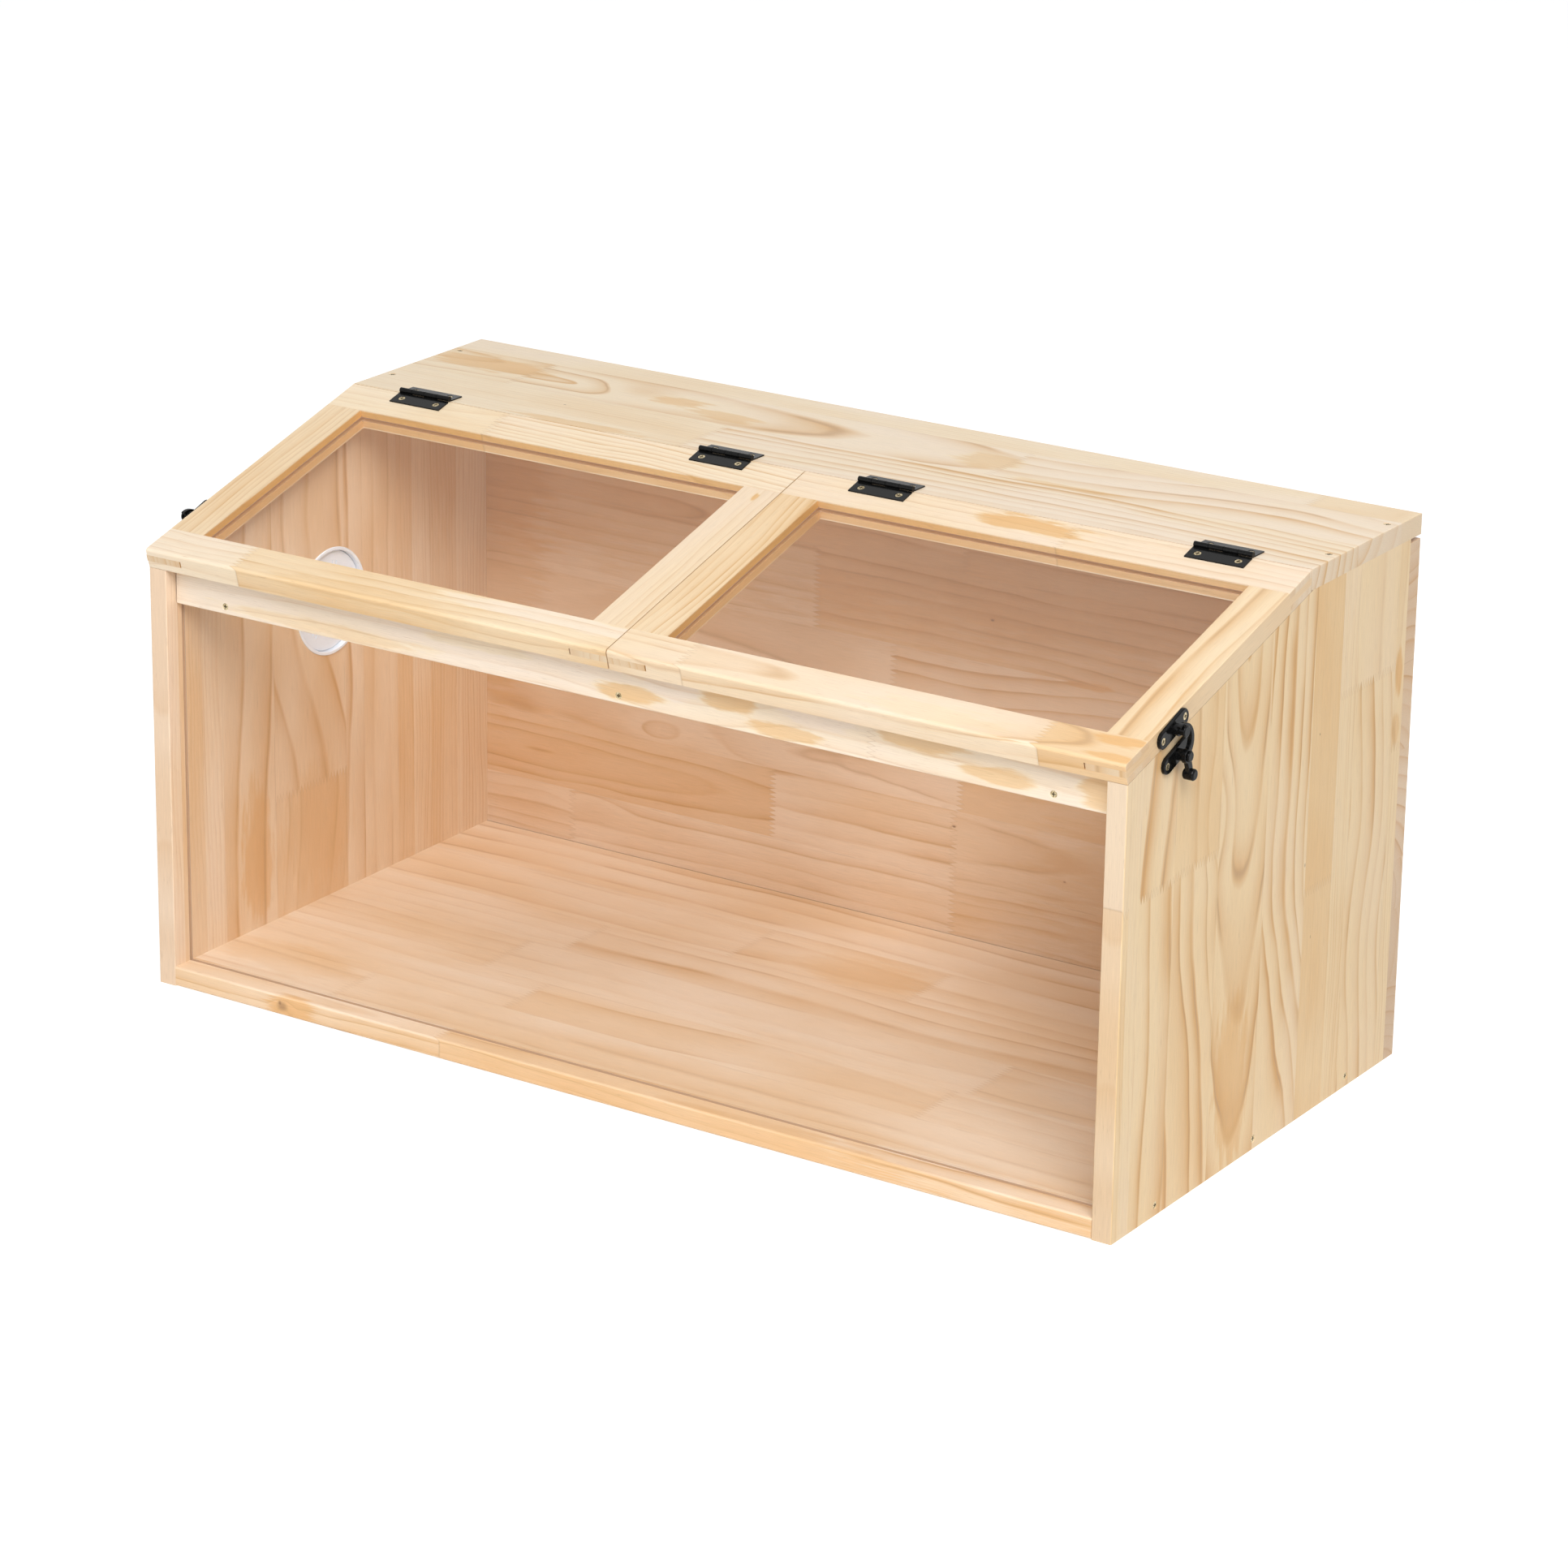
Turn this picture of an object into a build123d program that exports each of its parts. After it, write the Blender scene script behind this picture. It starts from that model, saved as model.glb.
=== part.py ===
from build123d import *
from math import asin, atan2, cos, hypot, radians, sin, tan
import os

# A pine small animal cage: a case with a sloping front half, a clear front window,
# two framed clear lids on butt hinges, and a horn latch on each side.
# Millimetres. X runs along the width, Y from front to back, Z up. The origin is on the
# floor, under the middle of the whole object.

# Case
case_width = 800
case_depth = 400
case_height = 400
board = 15
front_height = 317.5
hinge_from_front = 240
back_panel_drop = 3
edge_ease = 1
arris = 0.8
floor_nose_round = 2

# Front window and its rail
window_thickness = 3
window_from_front = 17
groove_depth = 5
groove_play = 0.1
rail_stock = 30
rail_from_front = 11
rail_end_gap = 0.8
rail_groove_depth = 10
window_screw_rise = 5.5
window_screw_from_side = 45

# Lid frames: bridle joints and a pane in a groove
lid_gap = 1
lid_seat_gap = 0.3
seam_gap = 1
frame_stock = 30
rear_rail_width = 32
lid_nose_round = 2.5
tenon_thickness = 5
slot_overcut = 1
pane_thickness = 3
pane_rise = 6
pane_headroom = 0.5
pane_groove_depth = 5
pane_play = 0.5

# Butt hinges
hinge_length = 45
hinge_from_lid_end = 66.5
leaf_width = 15
leaf_thickness = 1
barrel_radius = 2
hinge_pin_radius = 1
pin_clearance = 0.05
knuckles = 4
knuckle_gap = 0.3
barrel_clearance = 0.4
leaf_screw_inset = 8.8
leaf_screw_spacing = 31

# Horn latches
latch_from_front = 60
latch_tilt = 4
latch_reach = 20
latch_plate_length = 38.5
latch_plate_width = 12
latch_plate_thickness = 2.5
latch_screw_spacing = 29
boss_radius = 4
boss_height = 4.2
post_neck_radius = 3
post_head_radius = 4
post_head_height = 1.5
horn_thickness = 3
horn_clearance = 0.3
hub_radius = 5
rivet_radius = 2
rivet_head_radius = 3.6
rivet_head_height = 1.4
head_ease = 0.8
plate_ease = 0.6
horn_outer_radius = 13.4
horn_outer_back = 3
horn_outer_rise = 12.5
horn_inner_radius = 10.5
horn_inner_back = 3.6
horn_inner_rise = 13.8
horn_tip = 4
horn_ease = 0.5
lever_length = 14.5
lever_root_width = 6
lever_end_width = 4.4
knob_radius = 4
knob_length = 8.4
knob_ease = 1.6

# Vent port in the left side
port_radius = 40
port_from_front = 190
port_height = 246
sleeve_wall = 1.4
sleeve_flange_width = 1.2
sleeve_flange_thickness = 1
sleeve_ledge = 2
sleeve_ease = 0.4
cap_recess = 2.4
cap_thickness = 2.5
cap_play = 0.2
cap_ease = 0.8
cap_slot_circle_radius = 29
cap_slot_width = 1.2
cap_slot_length = 3
cap_slot_pitch = 4.5
cap_slot_angles = (75, 233)

# Screws: short ones for the fittings, long ones for the boards
sink_angle = 90
head_set_in = 0.3
fitting_head_radius = 2.5
fitting_shank_radius = 1.4
fitting_length = 12
board_head_radius = 2.6
board_shank_radius = 1.6
board_length = 30
cross_length_share = 0.62
cross_width_share = 0.13
cross_depth_share = 0.16
floor_screw_inset = 58
floor_screws_per_side = 3
top_screw_inset = 37.5
back_screw_inset = 50
back_screws_per_side = 3
back_floor_screw_inset = 120
back_floor_screws = 3

# Sizes worked out from those above
side_x = case_width / 2
inner_x = side_x - board
side_depth = case_depth - board
underside = case_height - board
hinge_z = case_height + barrel_radius
hinge_rise = hinge_z - front_height
lid_top_to_seat = barrel_radius + board + lid_seat_gap
slope = atan2(hinge_rise, hinge_from_front) - asin(lid_top_to_seat / hypot(hinge_rise, hinge_from_front))
lid_nose = board * sin(slope) - lid_nose_round * (cos(slope) + sin(slope) - 1)
front_y = (lid_nose + lid_seat_gap * sin(slope) - case_depth) / 2
back_y = front_y + case_depth
hinge_y = front_y + hinge_from_front
seam_y = hinge_y - seam_gap / 2
knee = (underside - front_height) / tan(slope)
window_groove = window_thickness + 2 * groove_play
window_middle_y = front_y + window_from_front + window_thickness / 2
window_bottom = board - groove_depth
rail_top = front_height + rail_from_front * tan(slope)
rail_bottom = rail_top - rail_stock
window_top = rail_bottom + rail_groove_depth - groove_play

# Planes of a lid: its underside, and its end seen from the right
up_slope = (0, cos(slope), sin(slope))
off_slope = (0, -sin(slope), cos(slope))
lid_front_y = front_y - lid_seat_gap * sin(slope)
lid_front_z = front_height + lid_seat_gap * cos(slope)
lid_face = Plane(origin=(0, lid_front_y, lid_front_z), x_dir=(1, 0, 0), z_dir=off_slope)


def lid_end(x):
    return Plane(origin=(x, lid_front_y, lid_front_z), x_dir=up_slope, z_dir=(1, 0, 0))


def reach_up_slope(y, rise):
    return (y - lid_front_y + rise * sin(slope)) / cos(slope)


lid_depth_top = reach_up_slope(seam_y, board)
lid_depth_bottom = reach_up_slope(seam_y, 0)
rear_rail_front = lid_depth_top - rear_rail_width
tenon_rise = (board - tenon_thickness) / 2
pane_groove = pane_thickness + pane_headroom
lid_in = lid_gap / 2
lid_length = side_x - lid_in
pane_hold = pane_groove_depth - pane_play


# Where the screws sit: each place has its Z axis out of the screw's head
def places(plane, pairs):
    return [plane.location * Location((x, y, 0)) for x, y in pairs]


def row(first, last, count):
    return [first + (last - first) * i / (count - 1) for i in range(count)]


right_face = Plane(origin=(side_x, front_y, 0), x_dir=(0, 1, 0), z_dir=(1, 0, 0))
left_face = Plane(origin=(-side_x, front_y, 0), x_dir=(0, -1, 0), z_dir=(-1, 0, 0))
middle_section = Plane(origin=(0, front_y, 0), x_dir=(0, 1, 0), z_dir=(1, 0, 0))
top_face = Plane(origin=(0, front_y, case_height))
back_face = Plane(origin=(0, back_y, 0), x_dir=(-1, 0, 0), z_dir=(0, 1, 0))
rail_face = Plane(origin=(0, front_y + rail_from_front, 0), x_dir=(1, 0, 0), z_dir=(0, -1, 0))

floor_screw_ys = row(floor_screw_inset, side_depth - floor_screw_inset, floor_screws_per_side)
right_floor_places = places(right_face, [(y, board / 2) for y in floor_screw_ys])
left_floor_places = places(left_face, [(-y, board / 2) for y in floor_screw_ys])
top_screw_ys = row(hinge_from_front + top_screw_inset, case_depth - top_screw_inset, 2)
top_pairs = [(side * (side_x - board / 2), y) for side in (1, -1) for y in top_screw_ys]
top_places = places(top_face, top_pairs)
back_zs = row(back_screw_inset, underside - back_screw_inset, back_screws_per_side)
back_pairs = [(side * (side_x - board / 2), z) for side in (1, -1) for z in back_zs]
back_places = places(back_face, back_pairs)
back_floor_xs = row(back_floor_screw_inset - side_x, side_x - back_floor_screw_inset, back_floor_screws)
back_floor_places = places(back_face, [(x, board / 2) for x in back_floor_xs])
window_screw_x = side_x - board - window_screw_from_side
window_screw_z = rail_bottom + window_screw_rise
window_places = places(rail_face, [(x, window_screw_z) for x in (-window_screw_x, 0, window_screw_x)])

# Hinges 1 to 4 from the left; each leaf's plane starts under the barrel, X away from it
hinge_far = side_x - hinge_from_lid_end
hinge_near = lid_in + hinge_from_lid_end
hinge_xs = (-hinge_far, -hinge_near, hinge_near, hinge_far)
leaf_screw_pairs = [(leaf_screw_inset, side * leaf_screw_spacing / 2) for side in (1, -1)]
barrel_foot_y = hinge_y + barrel_radius * sin(slope)
barrel_foot_z = hinge_z - barrel_radius * cos(slope)


def case_leaf_plane(x):
    return Plane(origin=(x, hinge_y, case_height), x_dir=(0, 1, 0), z_dir=(0, 0, 1))


def lid_leaf_plane(x):
    return Plane(
        origin=(x, barrel_foot_y, barrel_foot_z),
        x_dir=(0, -cos(slope), -sin(slope)),
        z_dir=off_slope,
    )


def leaf_places(plane):
    return places(plane.offset(leaf_thickness), leaf_screw_pairs)


# Right latch: X along its plates, which stand a few degrees steeper than the slope, and Z out of
# the side; the left one is its mirror image
latch_pivot_rise = board / 2 - latch_reach
pivot_y = lid_front_y + latch_from_front * cos(slope) - latch_pivot_rise * sin(slope)
pivot_z = lid_front_z + latch_from_front * sin(slope) + latch_pivot_rise * cos(slope)
latch_angle = slope + radians(latch_tilt)
along_plates = (0, cos(latch_angle), sin(latch_angle))
pivot_face = Plane(origin=(side_x, pivot_y, pivot_z), x_dir=along_plates, z_dir=(1, 0, 0))
post_y = pivot_y - latch_reach * sin(latch_angle)
post_z = pivot_z + latch_reach * cos(latch_angle)
post_face = Plane(origin=(side_x, post_y, post_z), x_dir=along_plates, z_dir=(1, 0, 0))
latch_pairs = [(side * latch_screw_spacing / 2, 0) for side in (1, -1)]
base_places = places(pivot_face.offset(latch_plate_thickness), latch_pairs)
catch_places = places(post_face.offset(latch_plate_thickness), latch_pairs)


# A countersunk screw with a cross recess, its head's face set in below the surface at the origin
def make_screw(head, shank, length):
    with BuildPart() as screw:
        with BuildSketch(Plane.XZ):
            with BuildLine():
                Polyline(
                    (0, -head_set_in),
                    (head, -head_set_in),
                    (shank, shank - head - head_set_in),
                    (shank, -length),
                    (0, -length),
                    close=True,
                )
            make_face()
        revolve(axis=Axis.Z)
        with BuildSketch(Plane.XY.offset(-head_set_in)):
            Rectangle(2 * head * cross_length_share, 2 * head * cross_width_share)
            Rectangle(2 * head * cross_width_share, 2 * head * cross_length_share)
        extrude(amount=-2 * head * cross_depth_share, mode=Mode.SUBTRACT)
    return screw.part


fitting_screw = make_screw(fitting_head_radius, fitting_shank_radius, fitting_length)
board_screw = make_screw(board_head_radius, board_shank_radius, board_length)


def fitting_holes():
    CounterSinkHole(fitting_shank_radius, fitting_head_radius + head_set_in, fitting_length, sink_angle)


def board_holes():
    CounterSinkHole(board_shank_radius, board_head_radius + head_set_in, board_length, sink_angle)


# Side panels: upright boards whose top edge slopes down to the front
def make_side_panel(has_port):
    with BuildPart() as panel:
        with BuildSketch(right_face):
            with BuildLine():
                Polyline(
                    (0, 0),
                    (side_depth, 0),
                    (side_depth, underside),
                    (knee, underside),
                    (0, front_height),
                    close=True,
                )
            make_face()
        extrude(amount=-board)
        front_edges = panel.edges().filter_by(Axis.Z).group_by(Axis.Y)[0].sort_by(Axis.X)
        fillet(front_edges[-1], edge_ease)
        fillet(front_edges[0], arris)
        with BuildSketch(Plane.XY.offset(window_bottom)):
            with Locations((inner_x, window_middle_y)):
                Rectangle(groove_depth * 2, window_groove)
        extrude(amount=case_height, mode=Mode.SUBTRACT)
        with Locations(*right_floor_places, *top_places[:2], *back_places[back_screws_per_side:]):
            board_holes()
        with Locations(*base_places):
            fitting_holes()
        if has_port:
            with Locations(Plane(origin=(side_x, front_y + port_from_front, port_height), z_dir=(1, 0, 0))):
                Hole(port_radius, board)
    return panel.part


right_side_panel = make_side_panel(has_port=False)
left_side_panel = mirror(make_side_panel(has_port=True), about=Plane.YZ)

# Back panel, behind both sides, stopping just short of the top panel
with BuildPart() as back_panel:
    with BuildSketch(back_face):
        with Locations((0, (underside - back_panel_drop) / 2)):
            Rectangle(case_width, underside - back_panel_drop)
    extrude(amount=-board)
    fillet(back_panel.edges().filter_by(Axis.Z).group_by(Axis.Y)[-1], arris)
    with Locations(*back_places, *back_floor_places):
        board_holes()

# Floor panel, between the sides; its rounded front edge shows under the window
with BuildPart() as floor_panel:
    with BuildSketch():
        with Locations((0, front_y + side_depth / 2)):
            Rectangle(2 * inner_x, side_depth)
    extrude(amount=board)
    fillet(floor_panel.edges().filter_by(Axis.X).group_by(Axis.Y)[0], floor_nose_round)
    with BuildSketch(Plane.XY.offset(window_bottom)):
        with Locations((0, window_middle_y)):
            Rectangle(case_width, window_groove)
    extrude(amount=board, mode=Mode.SUBTRACT)
    with Locations(*right_floor_places, *left_floor_places, *back_floor_places):
        board_holes()

# Top panel, on the sides, behind the lids
with BuildPart() as top_panel:
    with BuildSketch(top_face):
        with Locations((0, (hinge_from_front + seam_gap / 2 + case_depth) / 2)):
            Rectangle(case_width, case_depth - hinge_from_front - seam_gap / 2)
    extrude(amount=-board)
    fillet(top_panel.edges().group_by(Axis.Z)[-1].sort_by(Axis.Y)[1:], arris)
    with Locations(*top_places):
        board_holes()
    for x in hinge_xs:
        with Locations(*leaf_places(case_leaf_plane(x))):
            fitting_holes()

# Rail between the sides above the window, its front corner just under the lids
with BuildPart() as upper_front_rail:
    with BuildSketch(middle_section) as rail_section:
        with Locations((rail_from_front + board / 2, rail_bottom + rail_stock / 2)):
            Rectangle(board, rail_stock)
        fillet(rail_section.vertices(), arris)
        with Locations((window_from_front + window_thickness / 2, rail_bottom)):
            Rectangle(window_groove, 2 * rail_groove_depth, mode=Mode.SUBTRACT)
    extrude(amount=inner_x - rail_end_gap, both=True)
    with Locations(*window_places):
        fitting_holes()

# Front window: a clear sheet in the grooves of the sides, the floor and the rail
with BuildPart() as front_window:
    with BuildSketch(rail_face.offset(rail_from_front - window_from_front)):
        with Locations((0, (window_bottom + window_top) / 2)):
            Rectangle(2 * (inner_x + groove_depth - groove_play), window_top - window_bottom)
    extrude(amount=-window_thickness)
    with Locations(*window_places):
        fitting_holes()

# Vent port: a flanged sleeve through the left side, and a slotted disc on its ledge
port_section = Plane(
    origin=(-inner_x, front_y + port_from_front, port_height), x_dir=(0, 1, 0), z_dir=(0, 0, -1)
)
port_axis = Axis(port_section.origin, (1, 0, 0))
sleeve_bore = port_radius - sleeve_wall
cap_seat = cap_recess + cap_thickness

with BuildPart() as vent_sleeve:
    with BuildSketch(port_section):
        with BuildLine():
            Polyline(
                (port_radius, -board),
                (port_radius, 0),
                (port_radius + sleeve_flange_width, 0),
                (port_radius + sleeve_flange_width, sleeve_flange_thickness),
                (sleeve_bore, sleeve_flange_thickness),
                (sleeve_bore, -cap_seat),
                (sleeve_bore - sleeve_ledge, -cap_seat),
                (sleeve_bore - sleeve_ledge, -board),
                close=True,
            )
        make_face()
    revolve(axis=port_axis)
    chamfer(vent_sleeve.edges().group_by(Axis.X)[-1], sleeve_ease)

with BuildPart() as vent_cap:
    with BuildSketch(Plane(origin=port_section.origin, x_dir=(0, 1, 0), z_dir=(1, 0, 0)).offset(-cap_seat)):
        Circle(sleeve_bore - cap_play)
        for angle in cap_slot_angles:
            with PolarLocations(cap_slot_circle_radius, 1, angle):
                with GridLocations(0, cap_slot_pitch, 1, 2):
                    SlotOverall(cap_slot_length, cap_slot_width, mode=Mode.SUBTRACT)
    extrude(amount=cap_thickness)
    rim = vent_cap.faces().sort_by(Axis.X)[-1].edges().sort_by(SortBy.LENGTH)[-1]
    chamfer(rim, cap_ease)


# Lid frames: made for the right lid and mirrored for the left
def cut_bridle_slots():
    slot = frame_stock + slot_overcut
    with BuildSketch(lid_face.offset(tenon_rise)) as slots:
        with Locations((lid_in + slot / 2, lid_depth_top / 2), (side_x - slot / 2, lid_depth_top / 2)):
            Rectangle(slot, case_depth)
    extrude(slots.sketch, amount=tenon_thickness, mode=Mode.SUBTRACT)


# The arris along a lid's outer end, on its upper face
def ease_outer_edge(piece):
    along_slope = piece.faces().sort_by(Axis.X)[-1].edges().filter_by(Axis((0, 0, 0), up_slope))
    fillet(along_slope.sort_by(Axis((0, 0, 0), off_slope))[-1], arris)


def make_front_rail():
    with BuildPart() as rail:
        with BuildSketch(lid_end(lid_in)) as end:
            with Locations((frame_stock / 2, board / 2)):
                Rectangle(frame_stock, board)
            fillet(end.vertices().group_by(Axis.Y)[-1].sort_by(Axis.X)[0], lid_nose_round)
            with Locations((frame_stock, pane_rise + pane_groove / 2)):
                Rectangle(2 * pane_groove_depth, pane_groove, mode=Mode.SUBTRACT)
        extrude(amount=lid_length)
        ease_outer_edge(rail)
        cut_bridle_slots()
    return rail.part


def make_rear_rail():
    with BuildPart() as rail:
        with BuildSketch(lid_end(lid_in)):
            with BuildLine():
                Polyline(
                    (rear_rail_front, 0),
                    (lid_depth_bottom, 0),
                    (lid_depth_top, board),
                    (rear_rail_front, board),
                    close=True,
                )
            make_face()
            with Locations((rear_rail_front, pane_rise + pane_groove / 2)):
                Rectangle(2 * pane_groove_depth, pane_groove, mode=Mode.SUBTRACT)
        extrude(amount=lid_length)
        ease_outer_edge(rail)
        cut_bridle_slots()
        for x in (hinge_near, hinge_far):
            with Locations(*leaf_places(lid_leaf_plane(x))):
                fitting_holes()
    return rail.part


# A stile's tenons run through both rails. The pane's groove is on the side away from the lid's end:
# 1 is to the right, as on the inner stile, and -1 to the left, as on the outer one.
def make_stile(middle, groove_side, screw_places):
    opening = rear_rail_front - frame_stock
    opening_middle = (rear_rail_front + frame_stock) / 2
    with BuildPart() as stile:
        with BuildSketch(lid_face):
            with Locations((middle, opening_middle)):
                Rectangle(frame_stock, opening)
        extrude(amount=board)
        if groove_side < 0:
            ease_outer_edge(stile)
        with BuildSketch(lid_face.offset(tenon_rise)):
            with Locations((middle, lid_depth_top / 2)):
                Rectangle(frame_stock, lid_depth_top)
        extrude(amount=tenon_thickness)
        split(bisect_by=Plane(origin=(0, seam_y, 0), z_dir=(0, 1, 0)), keep=Keep.BOTTOM)
        with BuildSketch(lid_face.offset(pane_rise)):
            with Locations((middle + groove_side * frame_stock / 2, opening_middle)):
                Rectangle(2 * pane_groove_depth, opening + 2 * pane_groove_depth)
        extrude(amount=pane_groove, mode=Mode.SUBTRACT)
        for place in screw_places:
            with Locations(place):
                fitting_holes()
    return stile.part


def make_pane():
    with BuildPart() as pane:
        with BuildSketch(lid_face.offset(pane_rise)):
            with Locations(((lid_in + side_x) / 2, (frame_stock + rear_rail_front) / 2)):
                Rectangle(
                    lid_length - 2 * frame_stock + 2 * pane_hold,
                    rear_rail_front - frame_stock + 2 * pane_hold,
                )
        extrude(amount=pane_thickness)
    return pane.part


# Hinges: pressed leaves rolled into every other knuckle, and a pin through all of them
knuckle_pitch = hinge_length / knuckles


def make_leaf(plane):
    plate_start = barrel_radius + barrel_clearance
    with BuildPart() as leaf:
        with BuildSketch(plane):
            with Locations(((plate_start + leaf_width) / 2, 0)):
                Rectangle(leaf_width - plate_start, hinge_length)
        extrude(amount=leaf_thickness)
        for i in range(0, knuckles, 2):
            middle = (2 * i + 1) * knuckle_pitch / 2 - hinge_length / 2
            origin = plane.from_local_coords((0, middle, 0))
            with BuildSketch(Plane(origin=origin, x_dir=plane.x_dir, z_dir=-plane.y_dir)):
                with Locations((0, barrel_radius)):
                    Circle(barrel_radius)
                with Locations((plate_start / 2, leaf_thickness / 2)):
                    Rectangle(plate_start, leaf_thickness)
                with Locations((0, barrel_radius)):
                    Circle(hinge_pin_radius + pin_clearance, mode=Mode.SUBTRACT)
            extrude(amount=(knuckle_pitch - knuckle_gap) / 2, both=True)
        with Locations(*leaf_places(plane)):
            fitting_holes()
    return leaf.part


def make_hinge_pin(x):
    with BuildPart() as pin:
        with BuildSketch(Plane(origin=(x, hinge_y, hinge_z), z_dir=(1, 0, 0))):
            Circle(hinge_pin_radius)
        extrude(amount=(hinge_length - knuckle_gap) / 2, both=True)
    return pin.part


# Latches: a base with the pivot's boss, a catch with its headed post, a rivet and the horn
stack = latch_plate_thickness + boss_height + horn_clearance


def make_latch_plate(plane, places_of_screws):
    with BuildPart() as plate:
        with BuildSketch(plane):
            SlotOverall(latch_plate_length, latch_plate_width)
        extrude(amount=latch_plate_thickness)
        chamfer(plate.faces().sort_by(Axis.X)[-1].edges(), plate_ease)
        with Locations(*places_of_screws):
            fitting_holes()
        with BuildSketch(plane.offset(latch_plate_thickness)):
            Circle(boss_radius)
        extrude(amount=boss_height)
    return plate.part


def make_latch_base():
    with BuildPart() as base:
        add(make_latch_plate(pivot_face, base_places))
        with BuildSketch(pivot_face):
            Circle(rivet_radius)
        extrude(amount=latch_plate_thickness + boss_height, mode=Mode.SUBTRACT)
    return base.part


def make_catch():
    with BuildPart() as catch:
        add(make_latch_plate(post_face, catch_places))
        with BuildSketch(post_face.offset(latch_plate_thickness + boss_height)):
            Circle(post_neck_radius)
        extrude(amount=horn_thickness + 2 * horn_clearance)
        with BuildSketch(post_face.offset(stack + horn_thickness + horn_clearance)):
            Circle(post_head_radius)
        extrude(amount=post_head_height)
        fillet(catch.faces().sort_by(Axis.X)[-1].edges(), head_ease)
    return catch.part


def make_rivet():
    with BuildPart() as rivet:
        with BuildSketch(pivot_face):
            Circle(rivet_radius)
        extrude(amount=stack + horn_thickness + horn_clearance)
        with BuildSketch(pivot_face.offset(stack + horn_thickness + horn_clearance)):
            Circle(rivet_head_radius)
        extrude(amount=rivet_head_height)
        fillet(rivet.faces().sort_by(Axis.X)[-1].edges(), head_ease)
    return rivet.part


def make_hook():
    with BuildPart() as arm:
        with BuildSketch(pivot_face.offset(stack)):
            with Locations((-horn_outer_back, horn_outer_rise)):
                Circle(horn_outer_radius)
            with Locations((-horn_inner_back, horn_inner_rise)):
                Circle(horn_inner_radius, mode=Mode.SUBTRACT)
            with BuildLine():
                Polyline(
                    (0, -horn_outer_radius),
                    (2 * horn_outer_radius, -horn_outer_radius),
                    (2 * horn_outer_radius, 2 * latch_reach),
                    (-horn_tip, 2 * latch_reach),
                    (-horn_tip, horn_inner_rise),
                    (0, horn_inner_rise),
                    close=True,
                )
            make_face(mode=Mode.INTERSECT)
            Circle(hub_radius)
            with BuildLine():
                Polyline(
                    (-lever_root_width / 2, 0),
                    (-lever_end_width / 2, -lever_length),
                    (lever_end_width / 2, -lever_length),
                    (lever_root_width / 2, 0),
                    close=True,
                )
            make_face()
        extrude(amount=horn_thickness)
        fillet(arm.faces().sort_by(Axis.X)[-1].edges(), horn_ease)
        with BuildSketch(pivot_face.offset(stack)):
            Circle(rivet_radius + pin_clearance)
        extrude(amount=horn_thickness, mode=Mode.SUBTRACT)
    with BuildPart() as hook:
        with BuildSketch(pivot_face.offset(stack + (horn_thickness - knob_length) / 2)):
            with Locations((0, -lever_length)):
                Circle(knob_radius)
        extrude(amount=knob_length)
        fillet(hook.edges().group_by(Axis.X)[0] + hook.edges().group_by(Axis.X)[-1], knob_ease)
        add(arm.part)
    return hook.part


def make_screws(screw, screw_places, mirrored=False):
    with BuildPart() as screws:
        with Locations(*screw_places):
            add(screw)
        if mirrored:
            mirror(about=Plane.YZ)
    return screws.part


def left_of(piece):
    return mirror(piece, about=Plane.YZ)


outer_stile_x = side_x - frame_stock / 2
inner_stile_x = lid_in + frame_stock / 2
lid_pieces = {
    "front_rail": make_front_rail(),
    "rear_rail": make_rear_rail(),
    "outer_stile": make_stile(outer_stile_x, -1, catch_places),
    "inner_stile": make_stile(inner_stile_x, 1, []),
    "pane": make_pane(),
}
latch_pieces = {
    "base": make_latch_base(),
    "catch": make_catch(),
    "rivet": make_rivet(),
    "hook": make_hook(),
    "catch_screws": make_screws(fitting_screw, catch_places),
}
case_leaf_places = [place for x in hinge_xs for place in leaf_places(case_leaf_plane(x))]
right_leaf_places = [place for x in (hinge_near, hinge_far) for place in leaf_places(lid_leaf_plane(x))]
lid_leaf_screws = make_screws(fitting_screw, right_leaf_places)

pieces = {
    "left_side_panel": left_side_panel,
    "right_side_panel": right_side_panel,
    "back_panel": back_panel.part,
    "floor_panel": floor_panel.part,
    "top_panel": top_panel.part,
    "upper_front_rail": upper_front_rail.part,
    "front_window": front_window.part,
    "vent_sleeve": vent_sleeve.part,
    "vent_cap": vent_cap.part,
    "window_screws": make_screws(fitting_screw, window_places),
    "floor_screws": make_screws(board_screw, right_floor_places, mirrored=True),
    "top_panel_screws": make_screws(board_screw, top_places),
    "back_panel_screws": make_screws(board_screw, back_places + back_floor_places),
    "case_leaf_screws": make_screws(fitting_screw, case_leaf_places),
    "latch_base_screws": make_screws(fitting_screw, base_places, mirrored=True),
    "right_lid_leaf_screws": lid_leaf_screws,
    "left_lid_leaf_screws": left_of(lid_leaf_screws),
}
for name, piece in lid_pieces.items():
    pieces[f"right_lid_{name}"] = piece
    pieces[f"left_lid_{name}"] = left_of(piece)
for name, piece in latch_pieces.items():
    pieces[f"right_latch_{name}"] = piece
    pieces[f"left_latch_{name}"] = left_of(piece)
for number, x in enumerate(hinge_xs, start=1):
    pieces[f"hinge_{number}_case_leaf"] = make_leaf(case_leaf_plane(x))
    pieces[f"hinge_{number}_lid_leaf"] = make_leaf(lid_leaf_plane(x))
    pieces[f"hinge_{number}_pin"] = make_hinge_pin(x)

os.makedirs("parts", exist_ok=True)
for name, piece in pieces.items():
    piece.label = name
    export_step(piece, f"parts/{name}.step")
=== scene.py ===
import math
from collections import namedtuple

import bpy
from mathutils import Matrix, Vector


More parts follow.
